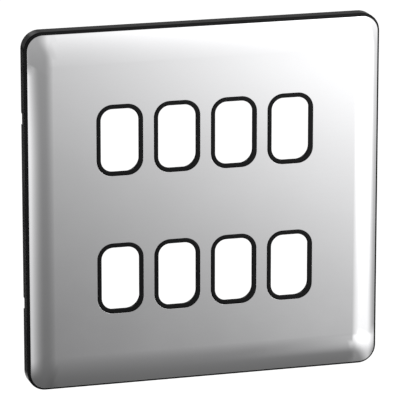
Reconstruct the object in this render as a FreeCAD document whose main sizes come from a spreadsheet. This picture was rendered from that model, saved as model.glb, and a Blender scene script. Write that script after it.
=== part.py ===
import FreeCAD, Part
import math
import os
import Sketcher
from FreeCAD import Vector

# Screwless grid switch plate with two rows of four apertures.
# X runs to the right, Z up, and the wall is the plane Y = 0. The front faces -Y, so a height
# above the wall is measured along -Y. The origin is the plate's centre in the wall plane.

# Sizes in millimetres, kept in the sheet
SIZES = {
    # Apertures
    "gang_pitch": 25.0,
    "row_pitch": 60.3,
    "opening_width": 16.4,
    "opening_height": 27.0,
    "opening_radius": 5.0,
    # Pressed steel yoke, outward from the modules
    "window_play": 0.5,
    "window_height": 38.0,
    "window_radius": 1.0,
    "tooth_width": 2.0,
    "tooth_length": 1.5,
    "clip_notch_width": 7.0,
    "clip_notch_depth": 1.3,
    "fixing_margin": 9.8,
    "yoke_border": 7.7,
    "yoke_corner_radius": 4.0,
    "yoke_thickness": 1.2,
    "flange_relief": 10.0,
    "flange_clearance": 0.55,
    "bend_radius": 1.0,
    # Black moulding, outside
    "frame_margin": 9.85,
    "frame_corner_radius": 7.85,
    "lip_height": 6.35,
    "lip_width": 1.15,
    "lip_round": 0.5,
    "side_wall": 1.8,
    # Pressed front plate
    "sheet_thickness": 1.0,
    "side_shoulder": 10.55,
    "end_shoulder": 13.4,
    "shoulder_drop": 1.5,
    "crease_radius": 1.0,
    # Collars of the moulding, one in each aperture
    "collar_ring": 1.75,
    "collar_gap": 0.2,
    "collar_round": 0.3,
    "collar_lip": 0.6,
    "collar_step": 1.1,
    "skirt_wall": 1.1,
    "skirt_depth": 2.0,
    # Panel and ribs of the moulding
    "panel_thickness": 1.5,
    "rib_thickness": 1.2,
    "rib_depth": 2.4,
    "rib_spread": 12.0,
    "gusset_reach": 3.6,
    "gusset_height": 3.0,
    # Snap hooks and prise notches
    "hook_place": 40.2,
    "hook_width": 8.0,
    "hook_thickness": 1.5,
    "hook_clearance": 0.3,
    "hook_foot": 0.6,
    "nib_reach": 0.9,
    "nib_thickness": 1.4,
    "nib_clearance": 0.2,
    "nib_cover": 1.2,
    "notch_length": 5.0,
    "notch_depth": 1.5,
    "notch_slope": 0.3,
    # Wall box fixings
    "fixing_height": 60.3,
    "slot_width": 3.9,
    "slot_length": 6.2,
    "screw_diameter": 3.5,
    "screw_length": 20.0,
    "neck_diameter": 3.1,
    "head_diameter": 6.8,
    "head_height": 2.1,
    "head_round": 0.8,
    "driver_width": 1.0,
    "driver_depth": 1.0,
    "tip_chamfer": 0.5,
    # Earth terminal behind the yoke
    "terminal_width": 9.0,
    "terminal_height": 8.0,
    "terminal_depth": 7.5,
    "terminal_edge": 0.6,
    "boss_diameter": 6.0,
    "boss_clearance": 0.05,
    "clamp_diameter": 4.0,
    "clamp_clearance": 0.05,
    "clamp_length": 4.5,
    "clamp_slot_width": 0.8,
    "clamp_slot_depth": 0.9,
    "wire_hole": 3.2,
    "wire_depth": 5.2,
}
COLUMNS = 4
ROWS = 2
GUSSETS = 5
SHOULDER_SECTIONS = 6
SIDES = (-1, 1)
QUARTER_TURN = math.pi / 2
SAME_PLACE = 1e-4
made = []

doc = FreeCAD.newDocument("grid_switch_plate")
sheet = doc.addObject("Spreadsheet::Sheet", "sizes")
for row, (alias, size) in enumerate(SIZES.items(), 1):
    sheet.set(f"A{row}", alias)
    sheet.set(f"B{row}", str(size))
    sheet.setAlias(f"B{row}", alias)
doc.recompute()


def sized(formula):
    """Write a formula of size names as an expression on the sheet."""
    words = []
    word = ""
    for sign in formula + " ":
        if sign.isalnum() or sign == "_":
            word += sign
            continue
        words.append(f"sizes.{word}" if word in SIZES else word)
        words.append(sign)
        word = ""
    return "".join(words).strip()


def number(formula):
    """The present value of a formula of size names."""
    found = sheet.evalExpression(sized(formula))
    return float(getattr(found, "Value", found))


def bind(thing, name, formula):
    """Tie a property to a formula of size names."""
    thing.setExpression(name, sized(formula))


# Formulas that several pieces share. The widths follow from the modules outward, so the yoke,
# the moulding and the plate all grow with the gang pitch.
WINDOW_WIDTH = f"(gang_pitch * {COLUMNS} + 2 * window_play)"
FIXING_WIDTH = f"({WINDOW_WIDTH} + 2 * fixing_margin)"
YOKE_SIZE = f"({FIXING_WIDTH} + 2 * yoke_border)"
FLANGE_LENGTH = f"({YOKE_SIZE} - 2 * flange_relief)"
FRAME_SIZE = f"({YOKE_SIZE} + 2 * frame_margin)"
PLATE_SIZE = f"({FRAME_SIZE} - 2 * lip_width)"
PLATE_RADIUS = "(frame_corner_radius - lip_width)"
FACE_HEIGHT = "(lip_height + sheet_thickness + shoulder_drop)"
PANEL_FRONT = "(lip_height + shoulder_drop)"
PANEL_BACK = "(lip_height + shoulder_drop - panel_thickness)"
RIM_BACK = "(lip_height - panel_thickness)"
FLANGE_HEIGHT = f"({RIM_BACK} - flange_clearance)"
NIB_HIGH = f"({FLANGE_HEIGHT} - nib_cover)"
NIB_LOW = f"({NIB_HIGH} - nib_thickness)"
APERTURE_WIDTH = "(opening_width + 2 * collar_ring + 2 * collar_gap)"
APERTURE_HEIGHT = "(opening_height + 2 * collar_ring + 2 * collar_gap)"
APERTURE_RADIUS = "(opening_radius + collar_ring + collar_gap)"
FLAT_WIDTH = f"({PLATE_SIZE} - 2 * side_shoulder)"
FLAT_HEIGHT = f"({PLATE_SIZE} - 2 * end_shoulder)"
SIDE_ROLL = "((side_shoulder^2 + shoulder_drop^2) / shoulder_drop)"
END_ROLL = "((end_shoulder^2 + shoulder_drop^2) / shoulder_drop)"
FIRST_COLUMN = f"(-gang_pitch * {(COLUMNS - 1) / 2})"
FIRST_ROW = f"(-row_pitch * {(ROWS - 1) / 2})"


# Sketches and features

def origin_part(body, role):
    """An origin plane or axis of a body."""
    return next(part for part in body.Origin.OriginFeatures if part.Role == role)


def new_body(label):
    body = doc.addObject("PartDesign::Body", label)
    body.Label = label
    return body


def new_sketch(body, name, offset="0", role="XZ_Plane"):
    """A sketch parallel to an origin plane, moved along that plane's normal."""
    sketch = body.newObject("Sketcher::SketchObject", name)
    sketch.AttachmentSupport = [(origin_part(body, role), "")]
    sketch.MapMode = "FlatFace"
    bind(sketch, "AttachmentOffset.Base.z", offset)
    return sketch


def hold(sketch, kind, *where, formula):
    """Add a dimension to a sketch and tie it to a formula."""
    index = sketch.addConstraint(Sketcher.Constraint(kind, *where, number(formula)))
    bind(sketch, f"Constraints[{index}]", formula)


def draw_polygon(sketch, points):
    """A closed outline of straight lines through points given as pairs of formulas."""
    places = [Vector(number(across), number(along), 0) for across, along in points]
    lines = []
    for start, end in zip(places, places[1:] + places[:1]):
        lines.append(sketch.addGeometry(Part.LineSegment(start, end), False))
    for line, following in zip(lines, lines[1:] + lines[:1]):
        sketch.addConstraint(Sketcher.Constraint("Coincident", line, 2, following, 1))
    for line, (across, along) in zip(lines, points):
        hold(sketch, "DistanceX", -1, 1, line, 1, formula=across)
        hold(sketch, "DistanceY", -1, 1, line, 1, formula=along)


def draw_rectangle(sketch, width, height, centre=("0", "0")):
    """A rectangle of a width and height about a centre."""
    across, along = centre
    left, right = (f"{across} {sign} {width} / 2" for sign in "-+")
    low, high = (f"{along} {sign} {height} / 2" for sign in "-+")
    draw_polygon(sketch, [(left, low), (right, low), (right, high), (left, high)])


def draw_rounded(sketch, width, height, radius, centre=("0", "0")):
    """A rectangle with four equal corner arcs, about a centre."""
    middle = Vector(number(centre[0]), number(centre[1]), 0)
    half_x = number(width) / 2
    half_y = number(height) / 2
    bend = number(radius)
    spans = ((-1, -1), (1, -1), (1, 1), (-1, 1))
    hubs = [middle + Vector(x * (half_x - bend), y * (half_y - bend), 0) for x, y in spans]
    outward = (Vector(0, -bend, 0), Vector(bend, 0, 0), Vector(0, bend, 0), Vector(-bend, 0, 0))
    pieces = []
    for index in range(4):
        following = (index + 1) % 4
        start = hubs[index] + outward[index]
        end = hubs[following] + outward[index]
        pieces.append(sketch.addGeometry(Part.LineSegment(start, end), False))
        circle = Part.Circle(hubs[following], Vector(0, 0, 1), bend)
        turn = (index - 1) * QUARTER_TURN
        arc = Part.ArcOfCircle(circle, turn, turn + QUARTER_TURN)
        pieces.append(sketch.addGeometry(arc, False))
    for piece, following in zip(pieces, pieces[1:] + pieces[:1]):
        sketch.addConstraint(Sketcher.Constraint("Tangent", piece, 2, following, 1))
    low, right, high, left = pieces[0::2]
    arcs = pieces[1::2]
    sketch.addConstraint(Sketcher.Constraint("Horizontal", low))
    sketch.addConstraint(Sketcher.Constraint("Horizontal", high))
    sketch.addConstraint(Sketcher.Constraint("Vertical", right))
    sketch.addConstraint(Sketcher.Constraint("Vertical", left))
    for arc in arcs[1:]:
        sketch.addConstraint(Sketcher.Constraint("Equal", arcs[0], arc))
    hold(sketch, "Radius", arcs[0], formula=radius)
    hold(sketch, "DistanceX", -1, 1, left, 1, formula=f"{centre[0]} - {width} / 2")
    hold(sketch, "DistanceX", -1, 1, right, 1, formula=f"{centre[0]} + {width} / 2")
    hold(sketch, "DistanceY", -1, 1, low, 1, formula=f"{centre[1]} - {height} / 2")
    hold(sketch, "DistanceY", -1, 1, high, 1, formula=f"{centre[1]} + {height} / 2")


def draw_circle(sketch, diameter, place=("0", "0")):
    """A circle of a diameter about a centre."""
    middle = Vector(number(place[0]), number(place[1]), 0)
    ring = Part.Circle(middle, Vector(0, 0, 1), number(diameter) / 2)
    circle = sketch.addGeometry(ring, False)
    hold(sketch, "DistanceX", -1, 1, circle, 3, formula=place[0])
    hold(sketch, "DistanceY", -1, 1, circle, 3, formula=place[1])
    hold(sketch, "Diameter", circle, formula=diameter)


def finish_feature(body, feature, grows):
    """Make a feature the body's tip, and note whether it has to add or remove material."""
    feature.Refine = False
    body.Tip = feature
    made.append((body, feature, grows))
    return feature


def pad(body, name, sketch, length, back=False, midplane=False):
    """Extrude a sketch along its normal, or against it."""
    feature = body.newObject("PartDesign::Pad", name)
    feature.Profile = sketch
    feature.Reversed = back
    feature.Midplane = midplane
    bind(feature, "Length", length)
    return finish_feature(body, feature, 1)


def pocket(body, name, sketch, length, outward=False, midplane=False):
    """Cut a sketch against its normal, or along it."""
    feature = body.newObject("PartDesign::Pocket", name)
    feature.Profile = sketch
    feature.Reversed = outward
    feature.Midplane = midplane
    bind(feature, "Length", length)
    return finish_feature(body, feature, -1)


def repeat_row(body, name, feature, axis, count, grows):
    """Repeat a feature along an axis at the gang pitch."""
    pattern = body.newObject("PartDesign::LinearPattern", name)
    pattern.Originals = [feature]
    pattern.Direction = (origin_part(body, axis), [""])
    pattern.Occurrences = count
    bind(pattern, "Length", f"gang_pitch * {count - 1}")
    return finish_feature(body, pattern, grows)


def repeat_grid(body, name, feature, grows):
    """Repeat a feature from the first aperture to every column and row."""
    pattern = body.newObject("PartDesign::LinearPattern", name)
    pattern.Originals = [feature]
    pattern.Direction = (origin_part(body, "X_Axis"), [""])
    pattern.Occurrences = COLUMNS
    bind(pattern, "Length", f"gang_pitch * {COLUMNS - 1}")
    pattern.Direction2 = (origin_part(body, "Z_Axis"), [""])
    pattern.Occurrences2 = ROWS
    bind(pattern, "Length2", f"row_pitch * {ROWS - 1}")
    return finish_feature(body, pattern, grows)


def finish_body(body):
    """Let the last feature merge the faces that the others left split."""
    body.Tip.Refine = True
    return body


def round_edges(body, name, chosen, radius, kind="PartDesign::Fillet", size="Radius"):
    """Round or chamfer the tip's edges that pass a test."""
    doc.recompute()
    edges = [f"Edge{n}" for n, edge in enumerate(body.Tip.Shape.Edges, 1) if chosen(edge)]
    if not edges:
        raise RuntimeError(f"{name} in {body.Label} found no edges")
    before = body.Tip
    feature = body.newObject(kind, name)
    feature.Base = (before, edges)
    bind(feature, size, radius)
    return finish_feature(body, feature, -1)


def at_height(edge, formula):
    """Whether an edge lies wholly at one height above the wall."""
    level = -number(formula)
    box = edge.BoundBox
    return abs(box.YMin - level) < SAME_PLACE and abs(box.YMax - level) < SAME_PLACE


def shoulder_loft(body, kind, name, drop, grows):
    """Loft of the rolled shoulders.

    Each shoulder's section is an arc that leaves the flat face tangent to it and falls by the
    shared drop over that shoulder's width, which is larger above and below than at the sides.
    The loft's sections are rounded rectangles at heights that grow with the square of their
    place, so they are evenly spread over the arcs. Their corner radius opens from the crease's
    to the plate's own.
    """
    sketches = []
    for step in range(SHOULDER_SECTIONS):
        part = step / (SHOULDER_SECTIONS - 1)
        fall = f"(shoulder_drop * {part ** 2})"
        side_out = f"sqrt({fall} * ({SIDE_ROLL} - {fall}))"
        end_out = f"sqrt({fall} * ({END_ROLL} - {fall}))"
        bend = f"(crease_radius + ({PLATE_RADIUS} - crease_radius) * {part})"
        sketch = new_sketch(body, f"{name}_section_{step}", f"{FACE_HEIGHT} - {fall} - {drop}")
        draw_rounded(
            sketch, f"({FLAT_WIDTH} + 2 * {side_out})", f"({FLAT_HEIGHT} + 2 * {end_out})", bend
        )
        sketches.append(sketch)
    feature = body.newObject(kind, name)
    feature.Profile = sketches[0]
    feature.Sections = sketches[1:]
    feature.Ruled = False
    return finish_feature(body, feature, grows)


# Front plate: one sheet, pressed to a flat face with rolled shoulders and eight apertures

def make_front_plate():
    body = new_body("front_plate")
    rim = new_sketch(body, "plate_outline", "lip_height")
    draw_rounded(rim, PLATE_SIZE, PLATE_SIZE, PLATE_RADIUS)
    pad(body, "cut_edge", rim, "sheet_thickness")
    shoulder_loft(body, "PartDesign::AdditiveLoft", "rolled_shoulder", "0", 1)
    shoulder_loft(body, "PartDesign::SubtractiveLoft", "hollow_back", "sheet_thickness", -1)
    window = new_sketch(body, "aperture_outline", FACE_HEIGHT)
    draw_rounded(
        window, APERTURE_WIDTH, APERTURE_HEIGHT, APERTURE_RADIUS, (FIRST_COLUMN, FIRST_ROW)
    )
    first = pocket(body, "aperture", window, "2 * sheet_thickness")
    repeat_grid(body, "apertures", first, -1)
    return finish_body(body)


# Inner frame: black moulding with side wall, lip, panel, collars, ribs and snap hooks

def make_inner_frame():
    body = new_body("inner_frame")
    outline = new_sketch(body, "frame_outline")
    draw_rounded(outline, FRAME_SIZE, FRAME_SIZE, "frame_corner_radius")
    pad(body, "block", outline, "lip_height")
    round_edges(body, "lip_edge", lambda edge: at_height(edge, "lip_height"), "lip_round")
    shoulder_loft(body, "PartDesign::AdditiveLoft", "crown", "sheet_thickness", 1)
    hollow_frame(body)
    add_ribs(body)
    add_gussets(body)
    for side_z in SIDES:
        add_hooks(body, side_z)
    cut_notches(body)
    add_collars(body)
    return finish_body(body)


def hollow_frame(body):
    """Open the back in two steps: a rim behind the shoulders, and the panel's own back."""
    rim = new_sketch(body, "rim_hollow_outline")
    inner = f"({FRAME_SIZE} - 2 * side_wall)"
    draw_rounded(rim, inner, inner, "(frame_corner_radius - side_wall)")
    pocket(body, "rim_hollow", rim, RIM_BACK, outward=True)
    deep = new_sketch(body, "panel_hollow_outline", RIM_BACK)
    wide = f"({FLAT_WIDTH} - 2 * panel_thickness)"
    high = f"({FLAT_HEIGHT} - 2 * panel_thickness)"
    draw_rounded(deep, wide, high, "crease_radius")
    pocket(body, "panel_hollow", deep, f"{PANEL_BACK} - {RIM_BACK}", outward=True)


def add_collars(body):
    """Raise a ring in each aperture, give it a skirt behind, and open it.

    The opening keeps a thin lip in front and steps outward behind it.
    """
    place = (FIRST_COLUMN, FIRST_ROW)
    ring = new_sketch(body, "collar_outline", PANEL_FRONT)
    draw_rounded(
        ring,
        "(opening_width + 2 * collar_ring)",
        "(opening_height + 2 * collar_ring)",
        "(opening_radius + collar_ring)",
        place,
    )
    first = pad(body, "collar", ring, "sheet_thickness")
    repeat_grid(body, "collars", first, 1)
    behind = "(collar_step + skirt_wall)"
    skirt = new_sketch(body, "skirt_outline", PANEL_BACK)
    draw_rounded(
        skirt,
        f"(opening_width + 2 * {behind})",
        f"(opening_height + 2 * {behind})",
        f"(opening_radius + {behind})",
        place,
    )
    first = pad(body, "skirt", skirt, "skirt_depth", back=True)
    repeat_grid(body, "skirts", first, 1)
    opening = new_sketch(body, "opening_outline", FACE_HEIGHT)
    draw_rounded(opening, "opening_width", "opening_height", "opening_radius", place)
    first = pocket(body, "opening", opening, FACE_HEIGHT)
    repeat_grid(body, "openings", first, -1)
    recess = new_sketch(body, "recess_outline", f"{FACE_HEIGHT} - collar_lip")
    draw_rounded(
        recess,
        "(opening_width + 2 * collar_step)",
        "(opening_height + 2 * collar_step)",
        "(opening_radius + collar_step)",
        place,
    )
    first = pocket(body, "recess", recess, FACE_HEIGHT)
    repeat_grid(body, "recesses", first, -1)
    round_edges(
        body, "collar_edges", lambda edge: at_height(edge, FACE_HEIGHT), "collar_round"
    )


def add_ribs(body):
    """Two long ribs across the band between the rows, tied by short ones at each column."""
    top = f"({PANEL_BACK} - rib_depth)"
    length = f"(gang_pitch * {COLUMNS})"
    long_ribs = new_sketch(body, "long_rib_outline", top)
    for side in SIDES:
        draw_rectangle(long_ribs, length, "rib_thickness", ("0", f"{side} * rib_spread / 2"))
    pad(body, "long_ribs", long_ribs, "rib_depth")
    short_ribs = new_sketch(body, "short_rib_outline", top)
    for column in range(COLUMNS):
        across = f"({FIRST_COLUMN} + gang_pitch * {column})"
        draw_rectangle(short_ribs, "rib_thickness", "(rib_spread - rib_thickness)", (across, "0"))
    pad(body, "short_ribs", short_ribs, "rib_depth")


def add_gussets(body):
    """Triangular gussets between the side wall and the rim, one at each multiple of a pitch."""
    wall = f"({FRAME_SIZE} / 2 - side_wall)"
    profile = [
        (f"{wall}", f"-{RIM_BACK}"),
        (f"({wall} - gusset_reach)", f"-{RIM_BACK}"),
        (f"{wall}", f"-({RIM_BACK} - gusset_height)"),
    ]
    start = f"(-gang_pitch * {(GUSSETS - 1) / 2})"
    flanks = new_sketch(body, "flank_gusset_outline", start, "XY_Plane")
    ends = new_sketch(body, "end_gusset_outline", start, "YZ_Plane")
    for side in SIDES:
        draw_polygon(flanks, [(f"{side} * {across}", depth) for across, depth in profile])
        draw_polygon(ends, [(depth, f"{side} * {across}") for across, depth in profile])
    first = pad(body, "flank_gusset", flanks, "rib_thickness", midplane=True)
    repeat_row(body, "flank_gussets", first, "Z_Axis", GUSSETS, 1)
    first = pad(body, "end_gusset", ends, "rib_thickness", midplane=True)
    repeat_row(body, "end_gussets", first, "X_Axis", GUSSETS, 1)


def add_hooks(body, side_z):
    """Hooks that hang from the rim, pass outside the yoke's flanges and snap into its slots."""
    near = f"({YOKE_SIZE} / 2 + hook_clearance)"
    far = f"({near} + hook_thickness)"
    nib = f"({near} - nib_reach)"
    profile = [
        (near, f"-{RIM_BACK}"),
        (near, f"-{NIB_HIGH}"),
        (nib, f"-{NIB_HIGH}"),
        (nib, f"-({NIB_LOW} + {NIB_HIGH}) / 2"),
        (near, f"-{NIB_LOW}"),
        (near, "-hook_foot"),
        (far, "-hook_foot"),
        (far, f"-{RIM_BACK}"),
    ]
    name = "upper" if side_z > 0 else "lower"
    sketch = new_sketch(body, f"{name}_hook_outline", f"{side_z} * hook_place", "XY_Plane")
    for side_x in SIDES:
        draw_polygon(sketch, [(f"{side_x} * {across}", depth) for across, depth in profile])
    pad(body, f"{name}_hooks", sketch, "hook_width", midplane=True)


def cut_notches(body):
    """Prise notches in the wall side of both flanks beside the hooks, with sloping ends."""
    sketch = new_sketch(body, "notch_outline", "0", "YZ_Plane")
    for side_z in SIDES:
        low, high = (f"{side_z} * hook_place {sign} notch_length / 2" for sign in "-+")
        draw_polygon(sketch, [
            ("0", low),
            ("-notch_depth", f"{low} + notch_slope"),
            ("-notch_depth", f"{high} - notch_slope"),
            ("0", high),
        ])
    pocket(body, "notches", sketch, f"2 * {FRAME_SIZE}", midplane=True)


# Yoke: pressed steel frame that is screwed to the wall box and carries modules and plate

def make_grid_yoke():
    body = new_body("grid_yoke")
    outline = new_sketch(body, "yoke_outline")
    draw_rounded(outline, YOKE_SIZE, YOKE_SIZE, "yoke_corner_radius")
    pad(body, "yoke_plate", outline, "yoke_thickness")
    flanges = new_sketch(body, "flange_outline")
    edge = f"({YOKE_SIZE} - yoke_thickness) / 2"
    for side in SIDES:
        draw_rectangle(flanges, "yoke_thickness", FLANGE_LENGTH, (f"{side} * {edge}", "0"))
        draw_rectangle(flanges, FLANGE_LENGTH, "yoke_thickness", ("0", f"{side} * {edge}"))
    pad(body, "flanges", flanges, FLANGE_HEIGHT)
    bend_flanges(body)
    cut_windows(body)
    cut_fixing_slots(body)
    for side_z in SIDES:
        cut_hook_slots(body, side_z)
    boss = new_sketch(body, "boss_hole_outline", "yoke_thickness")
    draw_circle(boss, "boss_diameter + 2 * boss_clearance")
    pocket(body, "boss_hole", boss, "yoke_thickness")
    return finish_body(body)


def bend_flanges(body):
    """Round the outside of each bend where a flange turns up from the plate."""
    reach = number(f"{YOKE_SIZE} / 2")
    length = number(FLANGE_LENGTH)

    def on_bend(edge):
        box = edge.BoundBox
        outer = max(abs(box.XMin), abs(box.XMax), abs(box.ZMin), abs(box.ZMax))
        at_border = at_height(edge, "0") and abs(outer - reach) < SAME_PLACE
        return at_border and max(box.XLength, box.ZLength) >= length - SAME_PLACE

    round_edges(body, "bends", on_bend, "bend_radius")


def cut_windows(body):
    """A window behind each row, with clip notches and the teeth that space the modules."""
    windows = new_sketch(body, "window_outline", "yoke_thickness")
    for row in range(ROWS):
        level = f"({FIRST_ROW} + row_pitch * {row})"
        draw_rounded(windows, WINDOW_WIDTH, "window_height", "window_radius", ("0", level))
    pocket(body, "windows", windows, "yoke_thickness")
    for row in range(ROWS):
        for side in SIDES:
            edge = f"{FIRST_ROW} + row_pitch * {row} + {side} * window_height / 2"
            notches = new_sketch(body, f"clip_outline_{row}_{side + 1}", "yoke_thickness")
            for column in range(COLUMNS):
                across = f"({FIRST_COLUMN} + gang_pitch * {column})"
                draw_rectangle(notches, "clip_notch_width", "2 * clip_notch_depth", (across, edge))
            pocket(body, f"clip_notches_{row}_{side + 1}", notches, "yoke_thickness")
            teeth = new_sketch(body, f"tooth_outline_{row}_{side + 1}")
            for gap in range(1, COLUMNS):
                across = f"({FIRST_COLUMN} + gang_pitch * {gap - 0.5})"
                draw_rectangle(teeth, "tooth_width", "2 * tooth_length", (across, edge))
            pad(body, f"teeth_{row}_{side + 1}", teeth, "yoke_thickness")


def cut_fixing_slots(body):
    """Four level slots at the wall box's fixing centres."""
    slots = new_sketch(body, "slot_outline", "yoke_thickness")
    for side_x in SIDES:
        for side_z in SIDES:
            place = (f"{side_x} * {FIXING_WIDTH} / 2", f"{side_z} * fixing_height / 2")
            draw_slot(slots, place)
    pocket(body, "fixing_slots", slots, "yoke_thickness")


def draw_slot(sketch, place):
    """A slot with round ends that lies along the sketch's first axis."""
    middle = Vector(number(place[0]), number(place[1]), 0)
    end = number("slot_width") / 2
    half = number("slot_length") / 2 - end
    pieces = []
    for side in SIDES:
        hub = middle + Vector(side * half, 0, 0)
        circle = Part.Circle(hub, Vector(0, 0, 1), end)
        start = -side * QUARTER_TURN
        half_round = Part.ArcOfCircle(circle, start, start + 2 * QUARTER_TURN)
        pieces.append(sketch.addGeometry(half_round, False))
        rim = Vector(0, side * end, 0)
        straight = Part.LineSegment(hub + rim, hub + rim - Vector(2 * side * half, 0, 0))
        pieces.append(sketch.addGeometry(straight, False))
    left, low, right, high = pieces
    for piece, following in ((left, low), (low, right), (right, high), (high, left)):
        sketch.addConstraint(Sketcher.Constraint("Tangent", piece, 2, following, 1))
    sketch.addConstraint(Sketcher.Constraint("Horizontal", low))
    hold(sketch, "Radius", left, formula="slot_width / 2")
    reach = "(slot_length - slot_width) / 2"
    hold(sketch, "DistanceX", -1, 1, left, 3, formula=f"{place[0]} - {reach}")
    hold(sketch, "DistanceX", -1, 1, right, 3, formula=f"{place[0]} + {reach}")
    hold(sketch, "DistanceY", -1, 1, left, 3, formula=place[1])


def cut_hook_slots(body, side_z):
    """Slots through both flank flanges, one for each hook's nib."""
    sketch = new_sketch(body, f"hook_slot_outline_{side_z + 1}", "0", "YZ_Plane")
    low = f"({NIB_LOW} - nib_clearance)"
    high = f"({NIB_HIGH} + nib_clearance)"
    draw_rectangle(
        sketch,
        f"({high} - {low})",
        "(hook_width + 2 * hook_clearance)",
        (f"-({low} + {high}) / 2", f"{side_z} * hook_place"),
    )
    pocket(body, f"hook_slots_{side_z + 1}", sketch, f"2 * {YOKE_SIZE}", midplane=True)


# Screws: slotted head, thinner neck where the thread runs out, threaded shank past the wall

def turned(name, diameter, height, foot="0"):
    """An upright cylinder that stands on a level."""
    blank = doc.addObject("Part::Cylinder", name)
    bind(blank, "Radius", f"{diameter} / 2")
    bind(blank, "Height", height)
    bind(blank, "Placement.Base.z", foot)
    return blank


def make_fixing_screws():
    head = turned("screw_head_blank", "head_diameter", "head_height")
    neck = turned("screw_neck", "neck_diameter", "yoke_thickness", "-yoke_thickness")
    thread = turned(
        "screw_thread_blank", "screw_diameter", "screw_length - yoke_thickness", "-screw_length"
    )
    doc.recompute()
    dome = doc.addObject("Part::Fillet", "screw_head")
    dome.Base = head
    dome.Edges = [(top_edge(head, "head_height"), number("head_round"), number("head_round"))]
    tip = doc.addObject("Part::Chamfer", "screw_thread")
    tip.Base = thread
    chamfer = number("tip_chamfer")
    tip.Edges = [(top_edge(thread, "-screw_length"), chamfer, chamfer)]
    whole = doc.addObject("Part::MultiFuse", "screw_blank")
    whole.Shapes = [dome, neck, tip]
    driver = doc.addObject("Part::Box", "driver_slot")
    bind(driver, "Length", "2 * head_diameter")
    bind(driver, "Width", "driver_width")
    bind(driver, "Height", "2 * driver_depth")
    bind(driver, "Placement.Base.x", "-head_diameter")
    bind(driver, "Placement.Base.y", "-driver_width / 2")
    bind(driver, "Placement.Base.z", "head_height - driver_depth")
    screw = doc.addObject("Part::Cut", "fixing_screw")
    screw.Base = whole
    screw.Tool = driver
    doc.recompute()
    group = doc.addObject("Part::Feature", "fixing_screws")
    group.Label = "fixing_screws"
    group.Shape = Part.makeCompound([
        screw_at(screw.Shape, side_x, side_z) for side_x in SIDES for side_z in SIDES
    ])
    return group


def top_edge(thing, level):
    """The number of the circular edge at one level of an upright cylinder."""
    height = number(level)
    for index, edge in enumerate(thing.Shape.Edges, 1):
        box = edge.BoundBox
        if abs(box.ZMin - height) < SAME_PLACE and abs(box.ZMax - height) < SAME_PLACE:
            return index
    raise RuntimeError(f"{thing.Name} has no edge at {height}")


def screw_at(shape, side_x, side_z):
    """One screw with its head on the yoke and its shank through the wall plane."""
    placed = shape.copy()
    placed.rotate(Vector(), Vector(1, 0, 0), 90)
    placed.translate(Vector(
        side_x * number(f"{FIXING_WIDTH} / 2"),
        -number("yoke_thickness"),
        side_z * number("fixing_height / 2"),
    ))
    return placed


# Earth terminal: brass block staked into the yoke, with a cross hole and a clamp screw

def make_earth_terminal():
    body = new_body("earth_terminal")
    block = new_sketch(body, "terminal_outline", "-terminal_depth")
    draw_rectangle(block, "terminal_width", "terminal_height")
    pad(body, "terminal_block", block, "terminal_depth")
    depth = number("terminal_depth")

    def along_block(edge):
        return edge.BoundBox.YLength > depth - SAME_PLACE

    round_edges(
        body, "terminal_edges", along_block, "terminal_edge", "PartDesign::Chamfer", "Size"
    )
    boss = new_sketch(body, "boss_outline")
    draw_circle(boss, "boss_diameter")
    pad(body, "staked_boss", boss, "yoke_thickness")
    bore = new_sketch(body, "clamp_bore_outline", "yoke_thickness")
    draw_circle(bore, "clamp_diameter + 2 * clamp_clearance")
    pocket(body, "clamp_bore", bore, "yoke_thickness + wire_depth")
    wire = new_sketch(body, "wire_outline", "0", "YZ_Plane")
    draw_circle(wire, "wire_hole", ("wire_depth", "0"))
    pocket(body, "wire_way", wire, "2 * terminal_width", midplane=True)
    return finish_body(body)


def make_earth_screw():
    body = new_body("earth_screw")
    rod = new_sketch(body, "clamp_outline", "yoke_thickness")
    draw_circle(rod, "clamp_diameter")
    pad(body, "clamp_rod", rod, "clamp_length", back=True)
    slot = new_sketch(body, "clamp_slot_outline", "yoke_thickness")
    draw_rectangle(slot, "2 * clamp_diameter", "clamp_slot_width")
    pocket(body, "clamp_slot", slot, "clamp_slot_depth")
    return finish_body(body)


pieces = [
    make_front_plate(),
    make_inner_frame(),
    make_grid_yoke(),
    make_fixing_screws(),
    make_earth_terminal(),
    make_earth_screw(),
]
doc.recompute()

for thing in doc.Objects:
    if "Invalid" in thing.State or "Error" in thing.State:
        raise RuntimeError(f"{thing.Name} did not build: {thing.State}")
for body in doc.findObjects("PartDesign::Body"):
    volume = 0.0
    for owner, feature, grows in made:
        if owner.Name != body.Name:
            continue
        if (feature.Shape.Volume - volume) * grows <= 0:
            raise RuntimeError(f"{feature.Name} in {body.Label} did nothing or went the wrong way")
        volume = feature.Shape.Volume
for piece in pieces:
    if piece.Shape.isNull() or not piece.Shape.isValid():
        raise RuntimeError(f"{piece.Label} has no valid shape")

os.makedirs("parts", exist_ok=True)
for piece in pieces:
    piece.Shape.exportStep(f"parts/{piece.Label}.step")
    solids = len(piece.Shape.Solids)
    print(f"{piece.Label}: {solids} solid(s), {piece.Shape.Volume:.1f} mm3")
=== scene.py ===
import math

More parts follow.
